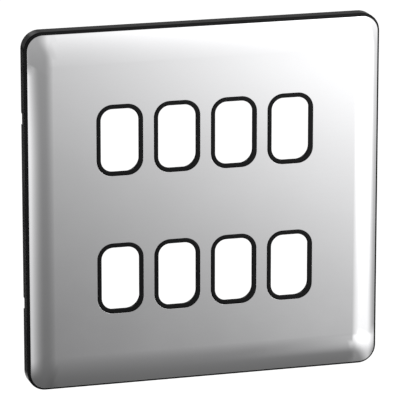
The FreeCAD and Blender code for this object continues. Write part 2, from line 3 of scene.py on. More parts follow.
import bpy
import numpy as np
from bpy.props import FloatProperty, FloatVectorProperty, PointerProperty
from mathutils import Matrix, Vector


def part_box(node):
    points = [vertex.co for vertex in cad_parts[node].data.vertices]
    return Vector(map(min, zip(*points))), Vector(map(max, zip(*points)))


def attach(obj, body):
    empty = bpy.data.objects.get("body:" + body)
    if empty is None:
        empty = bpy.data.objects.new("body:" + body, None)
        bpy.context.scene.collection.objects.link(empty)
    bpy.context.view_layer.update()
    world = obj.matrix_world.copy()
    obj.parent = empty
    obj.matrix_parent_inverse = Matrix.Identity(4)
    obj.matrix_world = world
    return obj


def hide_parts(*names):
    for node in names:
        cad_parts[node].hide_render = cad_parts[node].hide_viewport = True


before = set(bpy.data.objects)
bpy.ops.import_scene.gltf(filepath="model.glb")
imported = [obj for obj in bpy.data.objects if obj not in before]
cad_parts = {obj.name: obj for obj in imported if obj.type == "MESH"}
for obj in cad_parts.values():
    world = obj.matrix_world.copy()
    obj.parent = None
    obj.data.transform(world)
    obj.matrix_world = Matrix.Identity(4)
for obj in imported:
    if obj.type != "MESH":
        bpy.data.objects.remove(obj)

bl_info = {
    "name": "Grid Switch Plate",
    "version": (1, 0, 0),
    "blender": (4, 5, 0),
    "location": "3D View > Sidebar > Switch Plate",
    "description": "Dresses a screwless grid switch plate: polished front, black moulding, steel yoke",
    "category": "Object",
}

# Metres in a millimetre
MM = 0.001
# Apertures in a row, and rows
COLUMNS = 4
ROWS = 2
# Segments along a grid cell's side across and up, and in half a corner arc of aperture and rim
CELL_ACROSS = 20
CELL_UP = 28
CELL_ARC = 8
RIM_ARC = 14
# Rows down a shoulder, and segments in a rounded edge of a quarter turn and of more
SHOULDER_STEPS = 24
EDGE_STEPS = 4
WIDE_EDGE_STEPS = 6
# Rings in one turn of a thread, segments round it, and the power that widens its crests
THREAD_RINGS = 8
THREAD_SEGMENTS = 28
CREST_POWER = 0.7
# Angle over which a screw's edges stay sharp
SHARP_EDGE = math.radians(40)
# Points nearer than this are one
WELD = 1e-6
# Width of the camera's sensor in millimetres, and the floor's own grey
SENSOR_WIDTH = 36.0
FLOOR_GREY = 0.8
# Material slots of the plate
FRONT, CUT = 0, 1
# Shades between which plated and drawn metal varies, as colours
ZINC_BLUE = (0.588, 0.637, 0.6958)
ZINC_STRAW = (0.68, 0.66, 0.60)
BRASS_TARNISH = (0.62, 0.43, 0.20)

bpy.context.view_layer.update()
PLATE_LOW, PLATE_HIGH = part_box("front_plate")


# Settings

class PlateSizes(bpy.types.PropertyGroup):
    """Sizes of the pressed front plate, in metres."""

    sheet: FloatProperty(
        name="Sheet", description="Thickness of the pressed sheet",
        default=1.0 * MM, unit="LENGTH", precision=4,
    )
    side_shoulder: FloatProperty(
        name="Side shoulder", description="Width of the rolled shoulder at the left and right",
        default=10.55 * MM, unit="LENGTH", precision=4,
    )
    end_shoulder: FloatProperty(
        name="End shoulder", description="Width of the rolled shoulder above and below",
        default=13.4 * MM, unit="LENGTH", precision=4,
    )
    crease_radius: FloatProperty(
        name="Crease radius", description="Corner radius where the flat face ends",
        default=1.0 * MM, unit="LENGTH", precision=4,
    )
    corner_radius: FloatProperty(
        name="Corner radius", description="Corner radius of the plate's cut edge",
        default=6.7 * MM, unit="LENGTH", precision=4,
    )
    edge_round: FloatProperty(
        name="Edge round", description="Radius that polishing leaves on the cut edges",
        default=0.08 * MM, unit="LENGTH", precision=5,
    )
    gang_pitch: FloatProperty(
        name="Gang pitch", description="Distance between apertures in a row",
        default=25.0 * MM, unit="LENGTH", precision=4,
    )
    row_pitch: FloatProperty(
        name="Row pitch", description="Distance between the two rows",
        default=60.3 * MM, unit="LENGTH", precision=4,
    )
    aperture_width: FloatProperty(
        name="Aperture width", description="Width of an aperture in the sheet",
        default=20.3 * MM, unit="LENGTH", precision=4,
    )
    aperture_height: FloatProperty(
        name="Aperture height", description="Height of an aperture in the sheet",
        default=30.9 * MM, unit="LENGTH", precision=4,
    )
    aperture_radius: FloatProperty(
        name="Aperture radius", description="Corner radius of an aperture in the sheet",
        default=6.95 * MM, unit="LENGTH", precision=4,
    )


class ScrewSizes(bpy.types.PropertyGroup):
    """Sizes of the fixing screws' threads, in metres."""

    major: FloatProperty(
        name="Thread diameter", description="Diameter over the thread's crests",
        default=3.5 * MM, unit="LENGTH", precision=4,
    )
    root: FloatProperty(
        name="Root diameter", description="Diameter at the bottom of the thread",
        default=2.8 * MM, unit="LENGTH", precision=4,
    )
    pitch: FloatProperty(
        name="Thread pitch", description="Distance between two crests",
        default=0.6 * MM, unit="LENGTH", precision=5,
    )
    spread_across: FloatProperty(
        name="Fixing width", description="Distance between fixing centres across the plate",
        default=120.6 * MM, unit="LENGTH", precision=4,
    )
    spread_up: FloatProperty(
        name="Fixing height", description="Distance between fixing centres up the plate",
        default=60.3 * MM, unit="LENGTH", precision=4,
    )


class FinishColours(bpy.types.PropertyGroup):
    """Colours of the finishes."""

    plate: FloatVectorProperty(
        name="Polished plate", description="Polished metal of the front",
        default=(0.83, 0.83, 0.84), subtype="COLOR", min=0.0, max=1.0,
    )
    moulding: FloatVectorProperty(
        name="Black moulding", description="Moulded plastic of the inner frame",
        default=(0.003, 0.003, 0.0034), subtype="COLOR", min=0.0, max=1.0,
    )
    zinc: FloatVectorProperty(
        name="Zinc", description="Zinc plated steel of the yoke",
        default=(0.62, 0.64, 0.66), subtype="COLOR", min=0.0, max=1.0,
    )
    nickel: FloatVectorProperty(
        name="Nickel", description="Nickel plated steel of the screws",
        default=(0.70, 0.70, 0.71), subtype="COLOR", min=0.0, max=1.0,
    )
    brass: FloatVectorProperty(
        name="Brass", description="Machined brass of the earth terminal",
        default=(0.78, 0.60, 0.30), subtype="COLOR", min=0.0, max=1.0,
    )


class StageSettings(bpy.types.PropertyGroup):
    """Camera, floor and lights."""

    azimuth: FloatProperty(
        name="Azimuth", description="Turn of the camera from straight ahead, to the left if negative",
        default=math.radians(-15.985), unit="ROTATION",
    )
    elevation: FloatProperty(
        name="Elevation", description="Height of the camera above level",
        default=math.radians(14.848), unit="ROTATION",
    )
    distance: FloatProperty(
        name="Distance", description="Distance from the lens to the point it is aimed at",
        default=1.5641, unit="LENGTH",
    )
    lens: FloatProperty(
        name="Lens", description="Focal length on a 36 mm sensor, in millimetres",
        default=331.48, min=1.0,
    )
    aim: FloatVectorProperty(
        name="Aim", description="Point at the middle of the view",
        default=(-2.466 * MM, -8.85 * MM, 1.562 * MM), subtype="TRANSLATION",
    )
    floor_level: FloatProperty(
        name="Floor level", description="Height of the studio floor, below a plate held at eye level",
        default=-0.6, unit="LENGTH",
    )
    floor_reach: FloatProperty(
        name="Floor reach", description="Half the width of the studio floor",
        default=12.0, unit="LENGTH",
    )
    floor_glow: FloatProperty(
        name="Floor glow", description="How much the floor is lifted towards white in the picture",
        default=0.45, min=0.0,
    )
    lamp_size: FloatProperty(
        name="Lamp size", description="Width of the square lamp",
        default=1.2, unit="LENGTH",
    )
    lamp_power: FloatProperty(
        name="Lamp power", description="Power of the lamp",
        default=12.0, min=0.0, unit="POWER",
    )
    lamp_place: FloatVectorProperty(
        name="Lamp place", description="Where the lamp stands; it shines at the plate's middle",
        default=(0.9, -1.3, 1.1), subtype="TRANSLATION",
    )
    ambient: FloatProperty(
        name="Ambient level", description="Even light that matt surfaces receive",
        default=0.75, min=0.0,
    )


# Surfaces

def path_stations(across, up, arc):
    """Stations round a rounded rectangle, counter-clockwise as seen from the front.

    Each side has its outward direction, its direction of travel, an angle that runs from -45
    to 45 degrees through the half arcs at its ends, and a place from -1 to 1 along its straight.
    Returns the two directions, which of the two half sizes each takes, the angle and the place.
    """
    outward = np.array([[0, -1], [1, 0], [0, 1], [-1, 0]], float)
    travel = np.array([[1, 0], [0, 1], [-1, 0], [0, -1]], float)
    columns = []
    for side, count in enumerate((across, up, across, up)):
        step = np.arange(count)
        ends = np.clip(step / arc - 1, -1, 0) + np.clip((step - (count - arc)) / arc, 0, 1)
        place = 2 * np.clip((step - arc) / (count - 2 * arc), 0, 1) - 1
        columns.append((
            np.repeat(outward[side:side + 1], count, 0),
            np.repeat(travel[side:side + 1], count, 0),
            np.full(count, side % 2),
            math.pi / 4 * ends,
            place,
        ))
    return tuple(np.concatenate(part) for part in zip(*columns))


def carried(half, stations, profile):
    """A profile carried round a rounded rectangle.

    A profile row holds an offset o, a corner radius r and a height h above the wall, and their
    rates of change along the profile. On a side with half sizes a outward and b along, the
    point lies a + o - r + r cos(angle) outward and place (b + o - r) + r sin(angle) along.
    The normal is the cross product of the profile's tangent and the path's tangent.
    Returns points and normals as arrays of profile rows by stations.
    """
    outward, travel, kind, angle, place = stations
    reach = np.where(kind == 0, half[1], half[0])
    span = np.where(kind == 0, half[0], half[1])
    offset, radius, height, d_offset, d_radius, d_height = (
        column[:, None] for column in np.asarray(profile, float).T
    )
    out = reach + offset - radius + radius * np.cos(angle)
    along = place * (span + offset - radius) + radius * np.sin(angle)
    flat = out[..., None] * outward + along[..., None] * travel
    points = np.stack([flat[..., 0], np.broadcast_to(-height, out.shape), flat[..., 1]], -1)
    d_out = d_offset - d_radius + d_radius * np.cos(angle)
    d_along = place * (d_offset - d_radius) + d_radius * np.sin(angle)
    lean_out = -d_height * np.cos(angle)
    lean_along = -d_height * np.sin(angle)
    face = d_out * np.cos(angle) + d_along * np.sin(angle)
    level = lean_out[..., None] * outward + lean_along[..., None] * travel
    normals = np.stack([level[..., 0], -face, level[..., 1]], -1)
    return points, normals / np.linalg.norm(normals, axis=-1, keepdims=True)


def plain_loop(half, across, up, height, facing):
    """A rectangle's outline at one height, with evenly spaced points along each side, and
    normals that point along -Y or Y as facing says."""
    steps_x = np.arange(across) / across * 2 - 1
    steps_z = np.arange(up) / up * 2 - 1
    x = np.concatenate([steps_x, np.ones(up), -steps_x, -np.ones(up)]) * half[0]
    z = np.concatenate([-np.ones(across), steps_z, np.ones(across), -steps_z]) * half[1]
    points = np.stack([x, np.full_like(x, -height), z], -1)
    normals = np.zeros_like(points)
    normals[:, 1] = facing
    return points[None], normals[None]


def quads(rows, columns):
    """Faces between neighbouring rows of closed loops, by the points' numbers."""
    row, column = np.meshgrid(np.arange(rows - 1), np.arange(columns), indexing="ij")
    following = (column + 1) % columns
    corners = [
        row * columns + column,
        (row + 1) * columns + column,
        (row + 1) * columns + following,
        row * columns + following,
    ]
    return np.stack(corners, -1).reshape(-1, 4)


def rounding(centre, radius, start, end, corner, steps=EDGE_STEPS):
    """Profile rows of a rounded edge: offset and height are centre + radius (sin, cos) of a
    turn that runs from start to end, and the corner radius follows the offset."""
    turn = np.linspace(start, end, steps + 1)
    offset = centre[0] + radius * np.sin(turn)
    height = centre[1] + radius * np.cos(turn)
    d_offset = radius * np.cos(turn)
    d_height = -radius * np.sin(turn)
    return np.stack([offset, corner + offset, height, d_offset, d_offset, d_height], -1)


def new_piece(name, points, faces, materials, normals=None, slots=None):
    """A mesh object from arrays, with smooth shading, its own normals and material slots."""
    mesh = bpy.data.meshes.new(name)
    mesh.from_pydata(points.tolist(), [], faces.tolist())
    for material in materials:
        mesh.materials.append(material)
    mesh.polygons.foreach_set("use_smooth", np.ones(len(faces), bool))
    if slots is not None:
        mesh.polygons.foreach_set("material_index", slots)
    mesh.update()
    if normals is not None:
        mesh.normals_split_custom_set_from_vertices(normals.tolist())
    piece = bpy.data.objects.new(name, mesh)
    bpy.context.scene.collection.objects.link(piece)
    return piece


def joined(loops):
    """Rows of closed loops made one surface.

    Each item holds rows of points and rows of normals. Returns the points, the normals, the
    faces between neighbouring rows and the number of the row that each face starts from.
    """
    points = np.concatenate([rows for rows, _ in loops])
    normals = np.concatenate([rows for _, rows in loops])
    rows, around = points.shape[:2]
    band = np.repeat(np.arange(rows - 1), around)
    return points.reshape(-1, 3), normals.reshape(-1, 3), quads(rows, around), band


def welded(points, faces):
    """Which points stay when those that share a place are made one, and the faces on them."""
    places = np.round(points / WELD).astype(np.int64)
    _, kept, inverse = np.unique(places, axis=0, return_index=True, return_inverse=True)
    return kept, inverse.reshape(-1)[faces]


# Front plate

def arc_fall(width, drop, distance):
    """Fall and slope of an arc that leaves the flat level and drops by drop over width.

    The radius R is width squared plus drop squared, over twice the drop. At a distance d, with
    q the root of R squared less d squared, the fall is R - q and the slope is d / q.
    """
    radius = (width ** 2 + drop ** 2) / (2 * drop)
    across = np.sqrt(radius ** 2 - distance ** 2)
    return radius - across, distance / across


def shoulder_rows(sizes, stations, steps):
    """Points of the rolled shoulders in rows from the flat's border to the plate's edge.

    Places go in even steps from the border to the edge. The fall is the sum of the side arc's
    and the end arc's falls, so the shoulders flow into each other at the corners. Along each
    column the fall is then scaled, ever more with the square of the part, to end at the edge's
    own level. The normals are those of the sum before it is scaled, which lets reflections flow
    round the corners. The angle at the edge is twice the arc tangent of drop over width.
    Returns the points, their normals and that angle.
    """
    face = -PLATE_LOW.y
    drop = face - sizes.sheet + PLATE_HIGH.y
    widths = np.array([sizes.side_shoulder, sizes.end_shoulder])
    half = np.array([PLATE_HIGH.x, PLATE_HIGH.z])
    slope = 2 * math.atan(drop / widths.mean())
    inset = sizes.edge_round * (1 - math.sin(slope))
    border, _ = carried(half - widths, stations, [[0, sizes.crease_radius, face, 1, 1, 0]])
    edge, _ = carried(half - inset, stations, [[0, sizes.corner_radius - inset, face, 1, 1, 0]])
    part = np.linspace(0, 1, steps + 1)[:, None, None]
    points = border + (edge - border) * part
    flat = points[..., [0, 2]]
    falls, slopes = arc_fall(widths, drop, np.maximum(np.abs(flat) - (half - widths), 0))
    leans = slopes * np.sign(flat)
    normals = np.stack([leans[..., 0], -np.ones(flat.shape[:2]), leans[..., 1]], -1)
    normals /= np.linalg.norm(normals, axis=-1, keepdims=True)
    fall = falls.sum(-1)
    last = drop - inset * math.tan(slope)
    points[..., 1] += fall * (1 + (last / fall[-1] - 1) * part[..., 0] ** 2)
    return points, normals, slope


def rim_surface(sizes, stations):
    """Rows from the flat's border over the cut edge to the border on the back.

    Returns their points and normals, and how many of them lie on the front.
    """
    rim = -PLATE_HIGH.y + sizes.sheet
    front, normals, slope = shoulder_rows(sizes, stations, SHOULDER_STEPS)
    edge = sizes.edge_round
    top = (-edge, rim - edge * (1 - math.sin(slope)) / math.cos(slope))
    low = (-edge, rim - sizes.sheet + edge * (1 + math.sin(slope)) / math.cos(slope))
    over = rounding(top, edge, slope, math.pi / 2, sizes.corner_radius)
    under = rounding(
        low, edge, math.pi / 2, math.pi + slope, sizes.corner_radius, WIDE_EDGE_STEPS
    )
    cut = np.concatenate([over[1:], under[:-1]])
    wall, wall_normals = carried((PLATE_HIGH.x, PLATE_HIGH.z), stations, cut)
    behind = front[::-1] + np.array([0, sizes.sheet, 0])
    points = np.concatenate([front, wall, behind])
    return points, np.concatenate([normals, wall_normals, -normals[::-1]]), len(front)


def aperture_profile(sizes):
    """Profile through the sheet at an aperture, from its back face to its front face."""
    face = -PLATE_LOW.y
    back = face - sizes.sheet
    edge = sizes.edge_round
    corner = sizes.aperture_radius
    low = rounding((edge, back + edge), edge, math.pi, 1.5 * math.pi, corner)
    high = rounding((edge, face - edge), edge, 1.5 * math.pi, 2 * math.pi, corner)
    return np.concatenate([low, high])


def plate_border(sizes):
    """The sheet round the grid of cells: the grid's outline on the front, the shoulders and cut
    edge, and the outline on the back. Returns points, normals, faces and material slots."""
    face = -PLATE_LOW.y
    across, up = COLUMNS * CELL_ACROSS, ROWS * CELL_UP
    half = (COLUMNS * sizes.gang_pitch / 2, ROWS * sizes.row_pitch / 2)
    rim, rim_normals, front_rows = rim_surface(sizes, path_stations(across, up, RIM_ARC))
    points, normals, faces, band = joined([
        plain_loop(half, across, up, face, -1),
        (rim, rim_normals),
        plain_loop(half, across, up, face - sizes.sheet, 1),
    ])
    cut = (band > front_rows + 1) & (band < len(rim) - front_rows)
    return points, normals, faces, np.where(cut, CUT, FRONT)


def plate_cell(sizes):
    """One cell of the grid: its outline on the back, its aperture's profile and its outline on
    the front. Returns points, normals, faces and material slots."""
    face = -PLATE_LOW.y
    half = (sizes.gang_pitch / 2, sizes.row_pitch / 2)
    aperture = (sizes.aperture_width / 2, sizes.aperture_height / 2)
    profile = aperture_profile(sizes)
    points, normals, faces, band = joined([
        plain_loop(half, CELL_ACROSS, CELL_UP, face - sizes.sheet, 1),
        carried(aperture, path_stations(CELL_ACROSS, CELL_UP, CELL_ARC), profile),
        plain_loop(half, CELL_ACROSS, CELL_UP, face, -1),
    ])
    cut = (band >= 2) & (band < len(profile) - 1)
    return points, normals, faces, np.where(cut, CUT, FRONT)


def plate_surface(sizes):
    """The whole sheet as one closed surface: the border, and a cell at each gang of each row."""
    points, normals, faces, slots = ([part] for part in plate_border(sizes))
    cell, cell_normals, cell_faces, cell_slots = plate_cell(sizes)
    start = len(points[0])
    for row in range(ROWS):
        for column in range(COLUMNS):
            middle = np.array([
                (column - (COLUMNS - 1) / 2) * sizes.gang_pitch,
                0,
                (row - (ROWS - 1) / 2) * sizes.row_pitch,
            ])
            points.append(cell + middle)
            normals.append(cell_normals)
            faces.append(cell_faces + start)
            slots.append(cell_slots)
            start += len(cell)
    points, normals = np.concatenate(points), np.concatenate(normals)
    kept, faces = welded(points, np.concatenate(faces))
    return points[kept], normals[kept], faces, np.concatenate(slots)


# Screws

def thread_surface(sizes, length):
    """One screw thread about the Y axis, from y = 0 to its length.

    The radius at height y and angle a is the root plus a rounded tooth of y / pitch - a / turn,
    and the teeth fade out over one pitch at either end.
    """
    turns = length / sizes.pitch
    heights = np.linspace(0, length, int(turns * THREAD_RINGS) + 1)[:, None]
    angles = np.linspace(0, 2 * math.pi, THREAD_SEGMENTS, endpoint=False)[None]
    phase = heights / sizes.pitch - angles / (2 * math.pi)
    tooth = 0.5 + 0.5 * np.cos(2 * math.pi * phase)
    fade = np.clip(heights / sizes.pitch, 0, 1) * np.clip((length - heights) / sizes.pitch, 0, 1)
    depth = (sizes.major - sizes.root) / 2
    radius = sizes.root / 2 + depth * tooth ** CREST_POWER * fade
    points = np.stack([
        radius * np.cos(angles), np.broadcast_to(heights, radius.shape), radius * np.sin(angles)
    ], -1)
    tips = np.zeros((2, 1, angles.size, 3))
    tips[1, ..., 1] = length
    points = np.concatenate([tips[0], points, tips[1]])
    return points.reshape(-1, 3), quads(len(points), angles.size)[:, ::-1]


def triangles_of(node):
    """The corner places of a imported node's triangles, as one array."""
    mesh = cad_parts[node].data
    mesh.calc_loop_triangles()
    places = np.empty(len(mesh.vertices) * 3)
    mesh.vertices.foreach_get("co", places)
    corners = np.empty(len(mesh.loop_triangles) * 3, int)
    mesh.loop_triangles.foreach_get("vertices", corners)
    return places.reshape(-1, 3), corners.reshape(-1, 3)


def screws_surface(sizes):
    """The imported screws' heads and necks, with a thread in place of each plain shank."""
    places, corners = triangles_of("fixing_screws")
    ahead = (places[corners][:, :, 1] <= WELD).all(1)
    points, faces = [places], [corners[ahead]]
    thread, thread_faces = thread_surface(sizes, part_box("fixing_screws")[1].y)
    turned = np.concatenate([thread_faces[:, [0, 1, 2]], thread_faces[:, [0, 2, 3]]])
    start = len(places)
    for side_x in (-1, 1):
        for side_z in (-1, 1):
            middle = np.array([
                side_x * sizes.spread_across / 2, 0, side_z * sizes.spread_up / 2
            ])
            points.append(thread + middle)
            faces.append(turned + start)
            start += len(thread)
    points = np.concatenate(points)
    kept, faces = welded(points, np.concatenate(faces))
    used, faces = np.unique(faces, return_inverse=True)
    faces = faces.reshape(-1, 3)
    whole = (faces != np.roll(faces, 1, axis=1)).all(1)
    return points[kept[used]], faces[whole]


# Materials

def new_material(name, colour, metallic, roughness):
    """A material with a Principled shader, and the shader and node tree."""
    material = bpy.data.materials.new(name)
    material.use_nodes = True
    tree = material.node_tree
    shader = tree.nodes["Principled BSDF"]
    shader.inputs["Base Color"].default_value = (*colour, 1)
    shader.inputs["Metallic"].default_value = metallic
    shader.inputs["Roughness"].default_value = roughness
    material.diffuse_color = (*colour, 1)
    return material, shader, tree


def placed(tree, stretch=(1, 1, 1)):
    """Object coordinates stretched by a Mapping node."""
    where = tree.nodes.new("ShaderNodeTexCoord")
    mapping = tree.nodes.new("ShaderNodeMapping")
    mapping.inputs["Scale"].default_value = stretch
    tree.links.new(where.outputs["Object"], mapping.inputs["Vector"])
    return mapping.outputs["Vector"]


def noise(tree, where, scale, detail, roughness=0.5):
    """A noise texture, from 0 to 1, with scale features per metre of the coordinates."""
    node = tree.nodes.new("ShaderNodeTexNoise")
    node.inputs["Scale"].default_value = scale
    node.inputs["Detail"].default_value = detail
    node.inputs["Roughness"].default_value = roughness
    tree.links.new(where, node.inputs["Vector"])
    return node.outputs["Fac"]


def ranged(tree, value, low, high, start=0.3, end=0.7):
    """A value between start and end brought to the range from low to high."""
    node = tree.nodes.new("ShaderNodeMapRange")
    node.inputs["From Min"].default_value = start
    node.inputs["From Max"].default_value = end
    node.inputs["To Min"].default_value = low
    node.inputs["To Max"].default_value = high
    tree.links.new(value, node.inputs["Value"])
    return node.outputs["Result"]


def tinted(tree, value, first, second):
    """A colour between two by a value."""
    node = tree.nodes.new("ShaderNodeMix")
    node.data_type = "RGBA"
    node.inputs["A"].default_value = (*first, 1)
    node.inputs["B"].default_value = (*second, 1)
    tree.links.new(value, node.inputs["Factor"])
    return node.outputs["Result"]


def bumped(tree, shader, height, distance, strength, before=None):
    """A bump of a depth in metres on a shader, over an earlier bump if there is one."""
    node = tree.nodes.new("ShaderNodeBump")
    node.inputs["Strength"].default_value = strength
    node.inputs["Distance"].default_value = distance
    tree.links.new(height, node.inputs["Height"])
    if before is not None:
        tree.links.new(before, node.inputs["Normal"])
    tree.links.new(node.outputs["Normal"], shader.inputs["Normal"])
    return node.outputs["Normal"]


def shaded(colour, factor):
    """A colour made lighter or darker by a factor."""
    return tuple(min(1.0, part * factor) for part in colour)


def polished_plate(colour):
    """Buffed metal: a clear mirror with a faint haze that varies, and fine level buffing lines."""
    material, shader, tree = new_material("polished_plate", colour, metallic=1.0, roughness=0.05)
    where = placed(tree)
    haze = noise(tree, where, scale=60, detail=3)
    tree.links.new(ranged(tree, haze, low=0.035, high=0.065), shader.inputs["Roughness"])
    tree.links.new(
        tinted(tree, haze, shaded(colour, 0.985), shaded(colour, 1.01)),
        shader.inputs["Base Color"],
    )
    lines = noise(tree, placed(tree, stretch=(40, 1, 900)), scale=1, detail=2)
    bumped(tree, shader, lines, distance=0.002 * MM, strength=0.25)
    return material


def cut_edge(colour):
    """The sheared and lightly polished edge of the sheet: short lines through its thickness."""
    material, shader, tree = new_material("plate_cut_edge", colour, metallic=1.0, roughness=0.2)
    lines = noise(tree, placed(tree, stretch=(2200, 300, 2200)), scale=1, detail=2)
    tree.links.new(ranged(tree, lines, low=0.14, high=0.3), shader.inputs["Roughness"])
    tree.links.new(
        tinted(tree, lines, shaded(colour, 0.86), colour), shader.inputs["Base Color"]
    )
    bumped(tree, shader, lines, distance=0.01 * MM, strength=0.4)
    return material


def black_moulding(colour):
    """Satin moulded plastic: a fine spark-eroded texture with slow changes of gloss."""
    material, shader, tree = new_material("black_moulding", colour, metallic=0.0, roughness=0.3)
    shader.inputs["IOR"].default_value = 1.38
    shader.inputs["Specular IOR Level"].default_value = 0.25
    where = placed(tree)
    slow = noise(tree, where, scale=70, detail=2)
    grain = noise(tree, where, scale=5200, detail=3, roughness=0.6)
    tree.links.new(ranged(tree, slow, low=0.13, high=0.21), shader.inputs["Roughness"])
    tree.links.new(
        tinted(tree, grain, shaded(colour, 0.8), shaded(colour, 1.25)),
        shader.inputs["Base Color"],
    )
    swell = bumped(tree, shader, slow, distance=0.04 * MM, strength=0.3)
    bumped(tree, shader, grain, distance=0.012 * MM, strength=0.5, before=swell)
    return material


def zinc_plate(colour):
    """Bright zinc on pressed steel: soft patches, a bluish to straw cast and rolling lines."""
    material, shader, tree = new_material("zinc_steel", colour, metallic=1.0, roughness=0.35)
    where = placed(tree)
    patches = tree.nodes.new("ShaderNodeTexVoronoi")
    patches.inputs["Scale"].default_value = 420
    tree.links.new(where, patches.inputs["Vector"])
    cloud = noise(tree, where, scale=45, detail=4, roughness=0.6)
    cast = tinted(tree, cloud, ZINC_BLUE, ZINC_STRAW)
    mixed = tree.nodes.new("ShaderNodeMix")
    mixed.data_type = "RGBA"
    mixed.inputs["B"].default_value = (*colour, 1)
    share = ranged(tree, patches.outputs["Distance"], low=0.3, high=0.8, start=0.1, end=0.7)
    tree.links.new(share, mixed.inputs["Factor"])
    tree.links.new(cast, mixed.inputs["A"])
    tree.links.new(mixed.outputs["Result"], shader.inputs["Base Color"])
    tree.links.new(ranged(tree, cloud, low=0.27, high=0.42), shader.inputs["Roughness"])
    rolled = noise(tree, placed(tree, stretch=(60, 60, 1800)), scale=1, detail=3)
    bumped(tree, shader, rolled, distance=0.008 * MM, strength=0.5)
    return material


def nickel_plate(colour):
    """Nickel plated screws: turning marks round the shank and a light dulling."""
    material, shader, tree = new_material("screw_steel", colour, metallic=1.0, roughness=0.25)
    where = placed(tree)
    cloud = noise(tree, where, scale=300, detail=3)
    turning = noise(tree, placed(tree, stretch=(200, 6000, 200)), scale=1, detail=2)
    tree.links.new(ranged(tree, cloud, low=0.18, high=0.34), shader.inputs["Roughness"])
    tree.links.new(
        tinted(tree, cloud, shaded(colour, 0.85), shaded(colour, 1.05)),
        shader.inputs["Base Color"],
    )
    bumped(tree, shader, turning, distance=0.006 * MM, strength=0.5)
    return material


def terminal_brass(colour):
    """Drawn and sawn brass: lines along the bar, with a warmer tarnish in patches."""
    material, shader, tree = new_material("terminal_brass", colour, metallic=1.0, roughness=0.3)
    where = placed(tree)
    patches = noise(tree, where, scale=260, detail=4, roughness=0.6)
    drawn = noise(tree, placed(tree, stretch=(120, 5200, 5200)), scale=1, detail=3)
    tree.links.new(
        tinted(tree, patches, shaded(colour, 1.04), BRASS_TARNISH), shader.inputs["Base Color"]
    )
    tree.links.new(ranged(tree, drawn, low=0.22, high=0.4), shader.inputs["Roughness"])
    bumped(tree, shader, drawn, distance=0.008 * MM, strength=0.5)
    return material


def dress(node, material):
    """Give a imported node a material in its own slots."""
    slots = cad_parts[node].material_slots
    for slot in slots:
        slot.link = "OBJECT"
        slot.material = material


# Studio

def math_node(tree, operation, *values):
    """A math node fed with sockets or numbers."""
    node = tree.nodes.new("ShaderNodeMath")
    node.operation = operation
    for socket, value in zip(node.inputs, values):
        if isinstance(value, (int, float)):
            socket.default_value = value
        else:
            tree.links.new(value, socket)
    return node.outputs[0]


def stepped(tree, value, start, end, low, high, smooth=True):
    """A value that goes from low to high between start and end, smoothly or straight."""
    node = tree.nodes.new("ShaderNodeMapRange")
    node.interpolation_type = "SMOOTHSTEP" if smooth else "LINEAR"
    node.inputs["From Min"].default_value = start
    node.inputs["From Max"].default_value = end
    node.inputs["To Min"].default_value = low
    node.inputs["To Max"].default_value = high
    tree.links.new(value, node.inputs["Value"])
    return node.outputs["Result"]


def faded(tree, level, *steps):
    """A level times smooth steps, each of a value, its start and end and the factors there."""
    for value, start, end, first, last in steps:
        level = math_node(tree, "MULTIPLY", level, stepped(tree, value, start, end, first, last))
    return level


def studio_window(tree, turn, height):
    """The window on the left, by turn and height in degrees.

    Its near side stands at turn 0 and leans 14 degrees away between heights -13.9 and -10. The
    level grows with the square of the way in from there. It fades out below the sill, is weak
    above, and is brightest in a strip between turns -20 and -40.
    """
    lean = stepped(tree, height, -13.9, -10, 0, 14, smooth=False)
    way_in = stepped(tree, math_node(tree, "ADD", turn, lean), 0, -16.3, 0, 0.76, smooth=False)
    return faded(
        tree, math_node(tree, "POWER", way_in, 2.0),
        (height, -18, -35.6, 1, 0),
        (height, -8, 8, 1, 0.08),
        (turn, -20, -34, 1, 4),
        (turn, -29, -40, 1, 0.08),
    )


def studio_panel(tree, turn, height):
    """The bright panel on the right: it grows with the power 1.2 of the way from turn 13.3 to
    24, gains a little more beyond, and fades below a foot that slants down to the right."""
    way_in = stepped(tree, turn, 13.3, 23.97, 0, 1, smooth=False)
    beyond = stepped(tree, turn, 24, 28, 0, 0.25)
    panel = math_node(tree, "MULTIPLY_ADD", math_node(tree, "POWER", way_in, 1.2), 0.84, beyond)
    slant = math_node(tree, "MULTIPLY_ADD", turn, 0.65, height)
    return faded(tree, panel, (slant, -2.4, -14.85, 1, 0.19))


def studio_wall(tree, turn, height):
    """The grey wall ahead, which grows lighter to the right, and does so up to 9 degrees
    earlier higher up on the left."""
    earlier = stepped(tree, height, -6, 10, 0, 9)
    place = math_node(tree, "MULTIPLY_ADD", earlier, stepped(tree, turn, 6, 14, 1, 0), turn)
    return stepped(tree, place, 2.3, 19.9, 0.241, 0.479)


def studio_across(tree, turn, height):
    """Wall, window and panel together, darker towards a slanted corner on the right and at
    the far left, with a dim table mixed in below the panel's near side."""
    across = math_node(
        tree, "ADD", studio_wall(tree, turn, height), studio_window(tree, turn, height)
    )
    across = math_node(tree, "ADD", across, studio_panel(tree, turn, height))
    corner = math_node(tree, "MULTIPLY_ADD", height, 0.42, turn)
    across = faded(
        tree, across,
        (corner, 32.3, 43.3, 1, 0.35),
        (turn, 50, 62, 1, 0.3),
        (turn, -70, -88, 1, 0.1),
    )
    table = faded(
        tree, stepped(tree, turn, 0, 15, 0.15, 1),
        (turn, 22, 28, 1, 0),
        (height, -18, -39, 0, 0.275),
    )
    table_level = 0.118
    gap = math_node(tree, "SUBTRACT", table_level, across)
    return math_node(tree, "MULTIPLY_ADD", gap, table, across)


